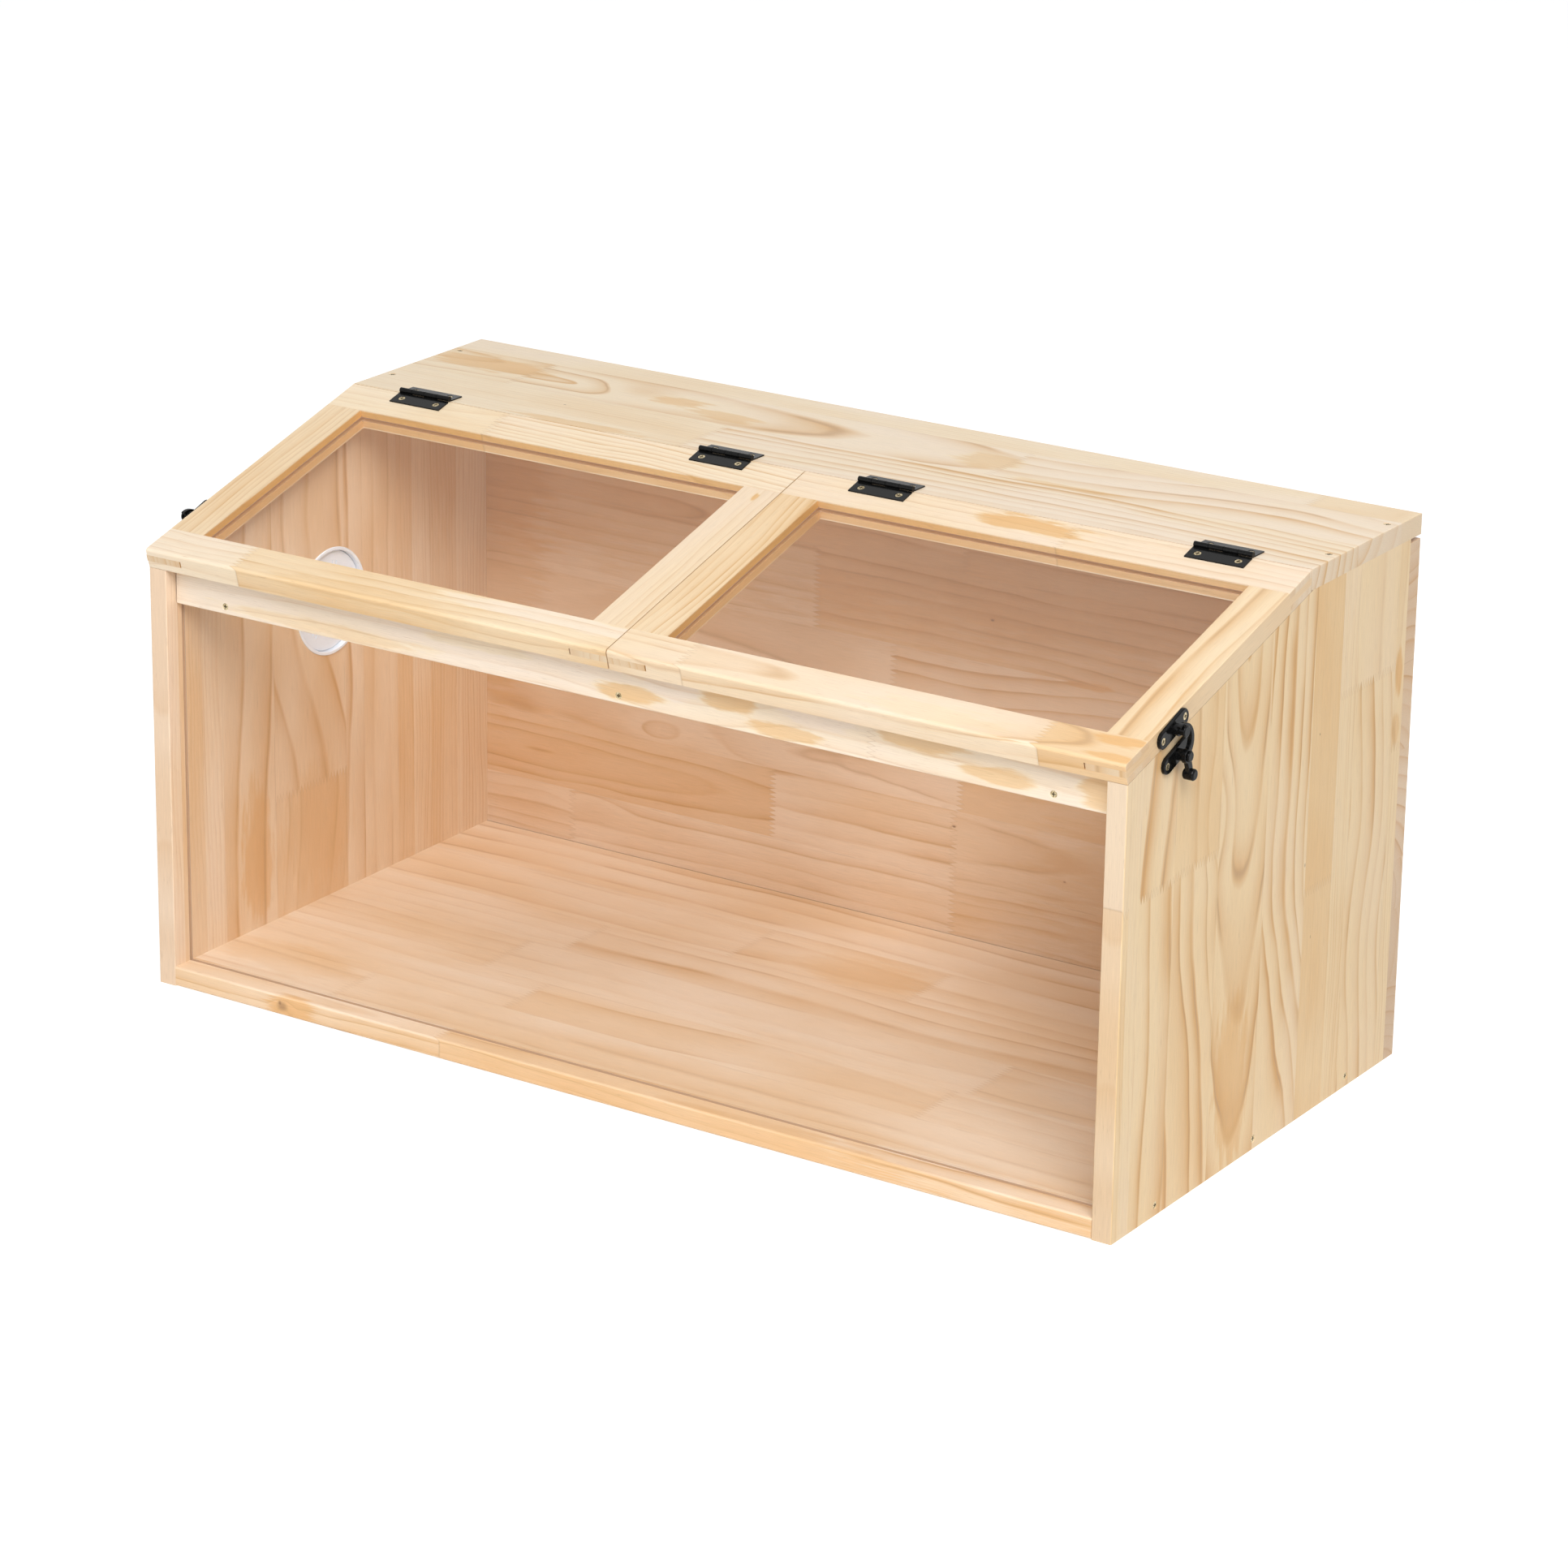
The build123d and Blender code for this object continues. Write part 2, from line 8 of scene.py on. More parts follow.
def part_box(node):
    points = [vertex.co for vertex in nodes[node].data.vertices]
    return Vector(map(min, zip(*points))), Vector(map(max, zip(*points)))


# A pine small animal cage with a sloping front: procedural finger-jointed pine, clear
# acrylic, black hinges and latches, and a white vent port. Metres, in the frame's axes.
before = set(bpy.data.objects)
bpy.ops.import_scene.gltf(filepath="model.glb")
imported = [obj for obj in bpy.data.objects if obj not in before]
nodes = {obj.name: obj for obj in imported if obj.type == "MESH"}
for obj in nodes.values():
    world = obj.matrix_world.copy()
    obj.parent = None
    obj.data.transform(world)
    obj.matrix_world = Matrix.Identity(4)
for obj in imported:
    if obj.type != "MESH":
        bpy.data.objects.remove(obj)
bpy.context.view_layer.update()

MM = 0.001
side_low, side_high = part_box("right_side_panel")
front_y = side_low.y
inner_x = side_low.x
side_x = side_high.x


class Tree:
    """The node tree of a material or a world, with a short call for each kind of node."""

    def __init__(self, owner):
        self.owner = owner
        self.owner.use_nodes = True
        self.nodes = self.owner.node_tree.nodes
        self.links = self.owner.node_tree.links
        self.nodes.clear()

    def node(self, kind, inputs=(), **settings):
        node = self.nodes.new("ShaderNode" + kind)
        for key, value in settings.items():
            setattr(node, key, value)
        for key, value in dict(inputs).items():
            self.put(node.inputs[key], value)
        return node

    def put(self, socket, value):
        if isinstance(value, bpy.types.NodeSocket):
            self.links.new(value, socket)
        elif value is not None:
            socket.default_value = value

    def math(self, operation, a, b=None, c=None, clamp=False):
        node = self.node("Math", {0: a, 1: b, 2: c}, operation=operation, use_clamp=clamp)
        return node.outputs[0]

    def plus(self, a, b):
        return self.math("ADD", a, b)

    def minus(self, a, b):
        return self.math("SUBTRACT", a, b)

    def times(self, a, b):
        return self.math("MULTIPLY", a, b)

    def size_of(self, a):
        return self.math("ABSOLUTE", a)

    def larger(self, a, b):
        return self.math("MAXIMUM", a, b)

    def dot(self, a, b):
        return self.node("VectorMath", {0: a, 1: b}, operation="DOT_PRODUCT").outputs["Value"]

    def vector(self, x, y, z):
        return self.node("CombineXYZ", {0: x, 1: y, 2: z}).outputs[0]

    def channels(self, color):
        return self.node("SeparateColor", {0: color}).outputs

    def mix(self, factor, a, b, blend="MIX"):
        node = self.node("Mix", {0: factor, 6: a, 7: b}, data_type="RGBA", blend_type=blend)
        return node.outputs[2]

    def noise(self, vector, scale, detail=2.0, roughness=0.5):
        inputs = {"Vector": vector, "Scale": scale, "Detail": detail, "Roughness": roughness}
        return self.node("TexNoise", inputs).outputs[0]

    def steps(self, factor, stops, interpolation="CONSTANT"):
        ramp = self.node("ValToRGB", {0: factor})
        ramp.color_ramp.interpolation = interpolation
        elements = ramp.color_ramp.elements
        elements.remove(elements[1])
        for i, (place, color) in enumerate(stops):
            element = elements[0] if i == 0 else elements.new(place)
            element.position = place
            element.color = (*color, 1.0)
        return ramp.outputs[0]

    def smooth(self, value, low, high, first=0.0, last=1.0):
        inputs = {0: value, 1: low, 2: high, 3: first, 4: last}
        return self.node("MapRange", inputs, interpolation_type="SMOOTHSTEP").outputs[0]

    def from_corner(self, corner):
        """The object's coordinates, counted from a corner."""
        place = self.node("TexCoord").outputs["Object"]
        return self.node("VectorMath", {0: place, 1: corner}, operation="SUBTRACT").outputs[0]

    def finish(self, shader, output="OutputMaterial"):
        out = self.node(output)
        self.links.new(shader.outputs[0], out.inputs[0])
        return self.owner


def new_material(name):
    return bpy.data.materials.new(name)


# Pine. A board is a row of courses glued edge to edge, each a run of finger-jointed pieces.
# Each piece has its own figure: its tone, how strong its growth rings are, where across the board
# and how far off its face the pith lies, how the pith leans, and how far apart the rings are.
# Places on a board are millimetres: along its grain, across it from one edge, and its rise off
# one face, and these three make right-handed axes. Spots push the rings apart, darken the wood
# as knots and as painted shade, or change its tone, also as painted shade; one without a rise
# goes right through.
Board = namedtuple("Board", "origin grain across width start length")
Figure = namedtuple("Figure", "tone strength centre depth lean pitch")
Course = namedtuple("Course", "edge joints figures sway")
Spot = namedtuple("Spot", "across along half_width half_length push dark tone rise")

PINKISH = (0.86, 0.69, 0.49)
PALE = (0.86, 0.68, 0.44)
TAN = (0.79, 0.55, 0.29)
AMBER = (0.75, 0.44, 0.17)
LATE = (0.65, 0.36, 0.12)
KNOT_AND_SHADE = (0.20, 0.09, 0.04)
END_GRAIN = (0.70, 0.54, 0.37)
STREAK = (0.40, 0.23, 0.12)
SEAM = (0.16, 0.08, 0.04)
BODY_TONES = [(0.0, PINKISH), (0.25, PALE), (0.58, TAN), (1.0, AMBER)]
PLAIN = (1.0, 1.0, 1.0)
CREAM = (1.01, 1.05, 1.15)
ROSY = (1.03, 1.05, 1.24)
WARM = (0.92, 0.87, 0.98)

# Ranges that a figure's values are scaled by to fit in a colour ramp
DEPTH_SPAN = 200.0
LEAN_SPAN = 1.0
PITCH_SPAN = 25.0
CENTRE_SPAN = 4.0
SWAY_SPAN = 120.0

# Finger joints: a joint ramp spans more than the board, so that 1.0 in it means no joint
TOOTH_PITCH = 3.6
TOOTH_LENGTH = 6.5
PAST_THE_END = 1.2

# Growth rings: how far noise sways them and frays a spot's rim, how much their widths differ,
# how the late wood darkens through a year, and where its thin dark line lies
SLOW_SWAY = 18.0
QUICK_SWAY = 2.6
FRAY = 1.5
YEARS_SPREAD = 1.5
LATE_WOOD = [
    (0.0, 0.04), (0.25, 0.06), (0.52, 0.28), (0.75, 0.6),
    (0.86, 1.0), (0.92, 0.7), (0.98, 0.04),
]
HAIR_AT = 0.87
HAIR_WIDTH = 0.06
MID_BOARD = 7.5
GLOSS = 0.42


def figure(tone=0.3, strength=0.5, centre=0.0, depth=60.0, lean=0.0, pitch=8.0):
    return Figure(tone, strength, centre, depth, lean, pitch)


def course(edge, *figures, joints=(), sway=()):
    return Course(edge, joints, figures, sway)


def spot(across, along, half_width, half_length, push=0.0, dark=0.0, tone=0.0, rise=None):
    return Spot(across, along, half_width, half_length, push, dark, tone, rise)


def tinted(color, tint):
    return tuple(c * k for c, k in zip(color, tint))


def grey(value):
    return (value,) * 3


class Pine(Tree):
    """The material of one board."""

    def __init__(self, name, board, courses):
        super().__init__(new_material(name))
        self.board = board
        self.courses = courses
        here = self.from_corner(board.origin)
        self.out_axis = board.grain.cross(board.across)
        self.along = self.times(self.dot(here, board.grain), 1 / MM)
        self.side = self.times(self.dot(here, board.across), 1 / MM)
        self.rise = self.times(self.dot(here, self.out_axis), 1 / MM)
        self.share = self.math("DIVIDE", self.side, board.width, clamp=True)
        past_start = self.minus(self.along, board.start)
        self.along_share = self.math("DIVIDE", past_start, board.length, clamp=True)

    def stretched(self, along, side, third):
        """A place for noise, with the board's millimetres scaled along and across the grain."""
        return self.vector(self.times(self.along, along), self.times(self.side, side), third)

    def line_at(self, place, lines, width):
        away = 1000.0
        for line in lines:
            away = self.math("MINIMUM", self.size_of(self.minus(place, line)), away)
        return self.smooth(away, 0.2 * width, width, 1.0, 0.0)

    def piece_ramps(self, row):
        """Two ramps across the board, which hold the figure of each course's piece in a row."""
        first, second = [], []
        start = 0.0
        for one in self.courses:
            f = one.figures[min(row, len(one.figures) - 1)]
            place = start / self.board.width
            centre = 0.5 + f.centre / self.board.width / CENTRE_SPAN
            shape = (f.depth / DEPTH_SPAN, 0.5 + f.lean / LEAN_SPAN, f.pitch / PITCH_SPAN)
            first.append((place, (f.tone, f.strength, centre)))
            second.append((place, shape))
            start = one.edge
        return self.steps(self.share, first), self.steps(self.share, second)

    def joint_places(self, span):
        """One ramp across the board, which holds where each course has its joints."""
        stops = []
        start = 0.0
        for one in self.courses:
            joints = [(joint - self.board.start) / span for joint in one.joints] + [1.0] * 3
            stops.append((start / self.board.width, tuple(joints[:3])))
            start = one.edge
        return self.channels(self.steps(self.share, stops))

    def lay_pieces(self):
        """Give each piece its figure. The seam between two pieces of a course zigzags."""
        board = self.board
        tooth = self.math("PINGPONG", self.side, TOOTH_PITCH / 2)
        seam_place = self.math("MULTIPLY_ADD", tooth, TOOTH_LENGTH / (TOOTH_PITCH / 2), self.along)
        span = PAST_THE_END * board.length
        seam_share = self.math("DIVIDE", self.minus(seam_place, board.start), span)
        self.rows = max(len(one.figures) for one in self.courses)
        first, second = self.piece_ramps(0)
        self.seam_line = 0.0
        joints = self.joint_places(span) if self.rows > 1 else None
        for row in range(1, self.rows):
            past = self.minus(seam_share, joints[row - 1])
            beyond = self.math("GREATER_THAN", past, 0.0)
            next_first, next_second = self.piece_ramps(row)
            first = self.mix(beyond, first, next_first)
            second = self.mix(beyond, second, next_second)
            near = self.smooth(self.size_of(past), 0.1 / span, 1.2 / span, 1.0, 0.0)
            self.seam_line = self.larger(self.seam_line, near)
        self.tone, self.strength, centre = self.channels(first)[:3]
        depth, lean, pitch = self.channels(second)[:3]
        self.centre = self.times(self.minus(centre, 0.5), CENTRE_SPAN * board.width)
        self.depth = self.times(depth, DEPTH_SPAN)
        self.lean = self.times(self.minus(lean, 0.5), LEAN_SPAN)
        self.pitch = self.times(pitch, PITCH_SPAN)

    def swayed_side(self):
        """The place across the board, bent along the grain as each course's sway says."""
        board = self.board
        side = self.side
        start = 0.0
        for one in self.courses:
            if one.sway:
                stops = []
                for along, shift in one.sway:
                    place = (along - board.start) / board.length
                    stops.append((place, grey(0.5 + shift / SWAY_SPAN)))
                bend = self.channels(self.steps(self.along_share, stops, "CARDINAL"))[0]
                edges = (0.0, start / board.width, one.edge / board.width)
                stops = list(zip(edges, (grey(0.0), grey(1.0), grey(0.0))))
                inside = self.channels(self.steps(self.share, stops))[0]
                bend = self.times(self.minus(bend, 0.5), inside)
                side = self.math("MULTIPLY_ADD", bend, -SWAY_SPAN, side)
            start = one.edge
        return side

    def radius(self):
        """How far a point is from its piece's pith, swayed by slow and quick noise."""
        self.seed = self.plus(self.times(self.centre, 0.37), self.times(self.depth, 1.7))
        slow = self.noise(self.stretched(0.005, 0.014, self.seed), 1.0, 1.5)
        sway = self.times(self.minus(slow, 0.5), SLOW_SWAY)
        quick = self.noise(self.stretched(0.02, 0.05, self.seed), 1.0, 2.0)
        quiver = self.times(self.minus(quick, 0.5), QUICK_SWAY)
        off = self.minus(self.swayed_side(), self.centre)
        pith_rise = self.math("MULTIPLY_ADD", self.lean, self.along, self.depth)
        under = self.minus(pith_rise, self.rise)
        squares = self.plus(self.times(off, off), self.times(under, under))
        return self.plus(self.math("SQRT", squares), self.plus(sway, quiver))

    def reach(self, s):
        """How far a point is from a spot's middle, as a share of the spot's size."""
        u = self.math("MULTIPLY_ADD", self.side, 1 / s.half_width, -s.across / s.half_width)
        v = self.math("MULTIPLY_ADD", self.along, 1 / s.half_length, -s.along / s.half_length)
        squares = self.plus(self.times(u, u), self.times(v, v))
        if s.rise is not None:
            w = self.math("MULTIPLY_ADD", self.rise, 1 / s.half_width, -s.rise / s.half_width)
            squares = self.math("MULTIPLY_ADD", w, w, squares)
        return self.math("SQRT", squares)

    def grow_rings(self, spots):
        """Late wood and thin dark lines, each ring as wide as the tree grew that year."""
        radius = self.radius()
        self.dark, self.warm = 0.0, 0.0
        self.dark_spotted = any(s.dark for s in spots)
        fray = self.noise(self.stretched(0.025, 0.16, self.rise), 1.0, 3.0, 0.6)
        fray = self.times(self.minus(fray, 0.5), FRAY)
        for s in spots:
            reach = self.reach(s)
            if s.push:
                radius = self.plus(radius, self.smooth(reach, 0.0, 1.0, s.push, 0.0))
            if s.dark:
                self.dark = self.larger(self.dark, self.smooth(reach, 0.1, 0.45, s.dark, 0.0))
            if s.tone:
                frayed = self.smooth(self.plus(reach, fray), 0.6, 1.05, s.tone, 0.0)
                self.warm = self.plus(self.warm, frayed)
        rings = self.plus(self.math("DIVIDE", radius, self.pitch), self.seed)
        years = self.noise(self.vector(self.times(rings, 0.6), self.seed, 0.0), 1.0, 1.0)
        rings = self.math("MULTIPLY_ADD", years, YEARS_SPREAD, rings)
        season = self.math("FRACT", rings)
        year = self.math("FLOOR", rings)
        late = self.steps(season, [(at, grey(value)) for at, value in LATE_WOOD], "LINEAR")
        chance = self.node("TexWhiteNoise", {"W": year}, noise_dimensions="1D").outputs["Value"]
        fading = self.vector(self.times(self.along, 0.009), self.times(year, 0.7), self.seed)
        fade = self.noise(fading, 1.0, 2.0)
        late = self.times(self.channels(late)[0], self.math("MULTIPLY_ADD", chance, 0.9, 0.6))
        late = self.times(late, self.smooth(fade, 0.33, 0.62, 0.55, 1.2))
        late = self.math("MULTIPLY", late, self.strength, clamp=True)
        hair = self.smooth(self.size_of(self.minus(season, HAIR_AT)), 0.0, HAIR_WIDTH, 1.0, 0.0)
        hair = self.times(hair, self.smooth(fade, 0.45, 0.62, 0.0, 0.5))
        self.hair = self.times(hair, self.strength)
        self.patch = self.noise(self.stretched(0.006, 0.02, self.seed), 1.0, 2.0)
        self.late = self.times(late, self.smooth(self.patch, 0.3, 0.65, 0.6, 1.0))

    def warm_edges(self, edge_tone, openings):
        """A deeper tone on the board's edges, and under the face beside a frame's opening."""
        self.facing = self.node("TexCoord").outputs["Normal"]
        self.flat = self.size_of(self.dot(self.facing, self.out_axis))
        if edge_tone:
            self.warm = self.plus(self.warm, self.smooth(self.flat, 0.2, 0.7, edge_tone, 0.0))
        if openings:
            under_face = self.line_at(self.size_of(self.rise), [MID_BOARD], 7.0)
            under_face = self.times(self.math("GREATER_THAN", under_face, 0.01), 0.6)
            beside = self.line_at(self.side, openings, 12.0)
            self.warm = self.math("MULTIPLY_ADD", beside, under_face, self.warm)

    def over(self, color, factor, strength, stain):
        return self.mix(self.times(factor, strength), color, (*stain, 1.0))

    def body_color(self, tint):
        """From pale sapwood to amber, with a slow drift, late wood and fibres."""
        drift = self.smooth(self.patch, 0.25, 0.75, -0.14, 0.14)
        body = self.math("ADD", self.plus(self.tone, self.warm), drift, clamp=True)
        stops = [(at, tinted(color, tint)) for at, color in BODY_TONES]
        color = self.steps(body, stops, "LINEAR")
        ends = self.smooth(self.size_of(self.dot(self.facing, self.board.grain)), 0.55, 0.85)
        color = self.over(color, ends, 0.6, END_GRAIN)
        color = self.mix(self.late, color, (*tinted(LATE, tint), 1.0))
        fibres = self.smooth(self.fibre, 0.2, 0.8, 0.90, 1.06)
        fibres = self.node("CombineColor", {0: fibres, 1: fibres, 2: fibres}).outputs[0]
        return self.mix(1.0, color, fibres, "MULTIPLY")

    def marked(self, color, seams, edge_tint_and_shade):
        """Resin streaks, seams, broken glue lines, knots and painted shade, and an edge tint,
        partly painted shade.
        """
        short = self.noise(self.stretched(0.07, 1.5, self.rise), 1.0, 2.0, 0.6)
        streak = self.smooth(short, 0.62, 0.76, 0.0, 0.38)
        color = self.mix(self.larger(streak, self.hair), color, (*STREAK, 1.0))
        if self.rows > 1:
            color = self.over(color, self.seam_line, 0.3, STREAK)
        broken = self.noise(self.vector(self.times(self.along, 0.03), self.seed, 0.0), 1.0, 2.0)
        broken = self.smooth(broken, 0.45, 0.6)
        glue = self.line_at(self.side, [one.edge for one in self.courses[:-1]], 0.5)
        color = self.over(color, self.times(glue, broken), 0.3, STREAK)
        if seams:
            color = self.over(color, self.line_at(self.side, seams, 0.9), 0.75, SEAM)
        # The dark spots are knots, and some are painted shade
        if self.dark_spotted:
            color = self.mix(self.dark, color, (*KNOT_AND_SHADE, 1.0))
        # The tint on the edge faces is partly painted shade
        if edge_tint_and_shade:
            edge = self.smooth(self.flat, 0.2, 0.7, 1.0, 0.0)
            color = self.mix(edge, color, (*edge_tint_and_shade, 1.0), "MULTIPLY")
        return color

    def lacquered(self, tint, seams, edge_tint_and_shade):
        fibre_place = self.vector(self.times(self.along, 0.02), self.side, self.rise)
        self.fibre = self.noise(fibre_place, 2.2, 3.0, 0.65)
        color = self.marked(self.body_color(tint), seams, edge_tint_and_shade)
        height = self.plus(self.times(self.fibre, 0.6), self.times(self.late, -0.4))
        bump = {"Strength": 0.25, "Distance": 0.0004, "Height": height}
        bump = self.node("Bump", bump).outputs[0]
        rough = self.smooth(self.fibre, 0.2, 0.8, GLOSS - 0.05, GLOSS + 0.07)
        inputs = {"Base Color": color, "Roughness": rough, "Normal": bump}
        return self.finish(self.node("BsdfPrincipled", inputs))


def pine(
    name, board, courses, spots=(), seams=(), openings=(), tint=PLAIN, edge_tone=0.0, edge_tint_and_shade=None
):
    wood = Pine(name, board, courses)
    wood.lay_pieces()
    wood.grow_rings(spots)
    wood.warm_edges(edge_tone, openings)
    return wood.lacquered(tint, seams, edge_tint_and_shade)


def dress(material, *names):
    for name in names:
        slots = nodes[name].material_slots
        if not slots:
            nodes[name].data.materials.append(material)
        for slot in slots:
            slot.material = material


# Places on the boards: x from the cage's middle, y from the front of its sides, z from the floor
X_AXIS, Y_AXIS, Z_AXIS = Vector((1, 0, 0)), Vector((0, 1, 0)), Vector((0, 0, 1))
HALF = side_x / MM
DEEP = 385

# Quarter-sawn wood: the pith lies far to one side, so the rings show as close straight lines
quarter = dict(centre=-120, depth=6, pitch=4)


def upright(x):
    return Board(Vector((x, front_y, 0)), Z_AXIS, Y_AXIS, DEEP, 0, DEEP)


def level(y, z, across, width):
    return Board(Vector((0, y, z)), X_AXIS, across, width, -HALF, 2 * HALF)


# Right side: the flame between y 125 and 190, wavy lines behind it, plain tan at y 250
dress(
    pine(
        "pine_right_side",
        upright(side_x),
        [
            course(7, figure(0.35, 0.4, **quarter), figure(0.15, 0.3, **quarter), joints=(232,)),
            course(20, figure(0.12, 0.2, **quarter)),
            course(
                66,
                figure(0.25, 0.9, -30, 10, 0, 22),
                figure(0.15, 1.0, 90, 20, 0.1, 16),
                joints=(236,),
                sway=((0, 0), (120, 3), (236, -2), (385, 8)),
            ),
            course(
                125,
                figure(0.3, 1.0, 10, 14, 0, 20),
                figure(0.38, 0.6, 20, 12, 0, 25),
                joints=(238,),
                sway=((0, 16), (60, 12), (120, 4), (170, -8), (240, -12)),
            ),
            course(190, figure(0.3, 1.0, 157, 64, -0.16, 14)),
            course(
                250,
                figure(0.15, 1.0, 150, 60, 0, 12),
                sway=((0, 52), (80, 34), (150, 10), (210, 0), (385, 6)),
            ),
            course(290, figure(0.5, 0.15, **quarter), figure(0.62, 0.15, **quarter), joints=(170,)),
            course(312, figure(0.25, 0.4, **quarter), figure(0.15, 0.3, **quarter), joints=(300,)),
            course(
                370,
                figure(0.2, 1.0, 290, 12, 0, 14),
                figure(0.1, 0.5, 300, 40, 0.02, 22),
                joints=(300,),
                sway=((0, 8), (100, 0), (200, 12), (300, 0)),
            ),
            course(
                385,
                figure(0.15, 0.3, **quarter),
                figure(0.3, 0.6, 372, 12, 0, 12),
                joints=(240,),
            ),
        ],
        [
            spot(126, 262, 34, 58, push=14),
            spot(156, 60, 26, 75, tone=0.4),
            spot(378, 292, 6, 20, tone=0.6),
            spot(376, 250, 9, 12, tone=0.3),
            spot(263, 278, 1.6, 3, push=2, dark=0.9),
            spot(250, 188, 1.6, 5, push=2, dark=0.8),
            spot(263, 132, 1.5, 4, push=2, dark=0.6),
        ],
        tint=(0.96, 0.92, 0.84),
        edge_tone=0.12,
        edge_tint_and_shade=(0.89, 0.93, 1.13),
    ),
    "right_side_panel",
)

# Left side: an orange strip at the front, then wide quiet bands and one orange tongue
dress(
    pine(
        "pine_left_side",
        upright(-inner_x),
        [
            course(12, figure(0.2, 0.4, **quarter)),
            course(37, figure(0.5, 0.25, **quarter)),
            course(60, figure(0.3, 0.3, **quarter)),
            course(
                120,
                figure(0.35, 0.65, 20, 12, 0, 26),
                sway=((0, -2), (100, 0), (200, 6), (300, 10), (385, 18)),
            ),
            course(
                205,
                figure(0.55, 0.5, 150, 20, 0.02, 18),
                figure(0.4, 0.6, 100, 20, 0, 30),
                joints=(112,),
                sway=((0, 10), (115, 22), (200, -4), (300, -24)),
            ),
            course(228, figure(0.25, 0.7, 190, 8, 0, 18), sway=((0, -4), (200, 4), (385, -2))),
            course(270, figure(0.4, 0.4, 200, 8, 0, 16)),
            course(290, figure(0.62, 0.3, **quarter)),
            course(312, figure(0.35, 0.4, **quarter)),
            course(345, figure(0.5, 0.3, **quarter)),
            course(385, figure(0.3, 0.4, **quarter)),
        ],
        [
            spot(98, 70, 20, 62, tone=0.4),
            spot(170, 75, 45, 60, tone=0.12),
            spot(240, 340, 150, 110, tone=0.1),
        ],
        tint=(0.99, 0.97, 1.08),
        edge_tone=0.12,
        edge_tint_and_shade=(0.94, 0.92, 0.92),
    ),
    "left_side_panel",
)

# Top panel: flames that point right in the middle course, long wavy lines in the front one
dress(
    pine(
        "pine_top",
        level(front_y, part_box("top_panel")[1].z, Y_AXIS, 400),
        [
            course(
                305,
                figure(0.3, 0.25, **quarter),
                figure(0.1, 0.75, 205, 14, 0, 11),
                joints=(-105,),
                sway=((-400, 4), (-50, 0), (150, 4), (280, 0), (400, -8)),
            ),
            course(
                370,
                figure(0.38, 1.0, 352, 84, 0.2, 14),
                figure(0.14, 1.0, 336, 42, 0.14, 17),
                figure(0.12, 1.0, 285, 30, -0.03, 17),
                joints=(-305, 112),
                sway=((-400, 0), (80, 0), (180, 6), (320, 26), (400, 14)),
            ),
            course(
                400,
                figure(0.2, 0.2, **quarter),
                figure(0.45, 0.3, 385, 60, 0.4, 25),
                joints=(330,),
            ),
        ],
        [
            spot(340, -215, 30, 60, push=16),
            spot(345, -350, 20, 60, tone=0.5),
            spot(338, -175, 14, 26, tone=0.5),
            spot(325, -125, 12, 40, tone=0.45),
            spot(312, 165, 6, 50, tone=0.4),
            spot(338, 92, 22, 30, tone=0.5),
            spot(246, -200, 8, 60, tone=0.45),
            spot(283, -238, 2, 4, push=3, dark=0.8),
        ],
        tint=CREAM,
    ),
    "top_panel",
)

# Floor: six narrow courses inside, and an orange front edge with a brown knot, and painted shadow
# at the rear right
dress(
    pine(
        "pine_floor",
        level(front_y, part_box("floor_panel")[1].z, Y_AXIS, DEEP),
        [
            course(
                22,
                figure(0.3, 0.6, 8, 14, 0.01, 8),
                figure(0.6, 0.6, 4, 20, -0.03, 9),
                joints=(-145,),
            ),
            course(
                75,
                figure(0.36, 0.3, 0, 8, 0, 24),
                figure(0.38, 0.35, 90, 10, 0, 22),
                joints=(-255,),
            ),
            course(
                130,
                figure(0.36, 0.3, 160, 10, 0, 22),
                figure(0.37, 0.4, 100, 12, 0.03, 24),
                figure(0.34, 0.3, 60, 10, 0, 20),
                joints=(-140, 205),
                sway=((-400, 5), (-100, -4), (100, 6), (400, -4)),
            ),
            course(
                192,
                figure(0.38, 0.3, 160, 14, 0.04, 20),
                figure(0.32, 0.25, 240, 10, 0, 22),
                figure(0.38, 0.35, 130, 10, 0, 20),
                joints=(-200, 215),
            ),
            course(
                250,
                figure(0.38, 0.3, 280, 10, 0, 18),
                figure(0.36, 0.6, 190, 10, 0, 25),
                joints=(-172,),
                sway=((-400, 0), (-50, 2), (150, -4), (400, 6)),
            ),
            course(
                315,
                figure(0.35, 0.3, 350, 10, 0, 24),
                figure(0.4, 0.45, 280, 22, 0.05, 20),
                figure(0.34, 0.35, 240, 10, 0, 22),
                joints=(-65, 88),
            ),
            course(
                DEEP,
                figure(0.37, 0.7, 430, 14, 0, 25),
                sway=((-400, 0), (0, 3), (200, -3), (400, 4)),
            ),
        ],
        [
            spot(1, -286, 12, 15, push=7, dark=0.5, rise=-8),
            spot(1, -288, 7, 6, dark=0.8, rise=-6),
            spot(1, -278, 11, 26, tone=0.5, rise=-8),
            # Painted shadow of the right side on the rear right of the floor
            spot(370, 240, 330, 560, dark=0.3),
            spot(60, -330, 30, 70, tone=0.15),
            spot(10, 310, 16, 150, tone=-0.35),
            spot(280, 30, 30, 60, tone=0.14),
        ],
        seams=[384.6],
        tint=ROSY,
        edge_tone=0.25,
    ),
    "floor_panel",
)
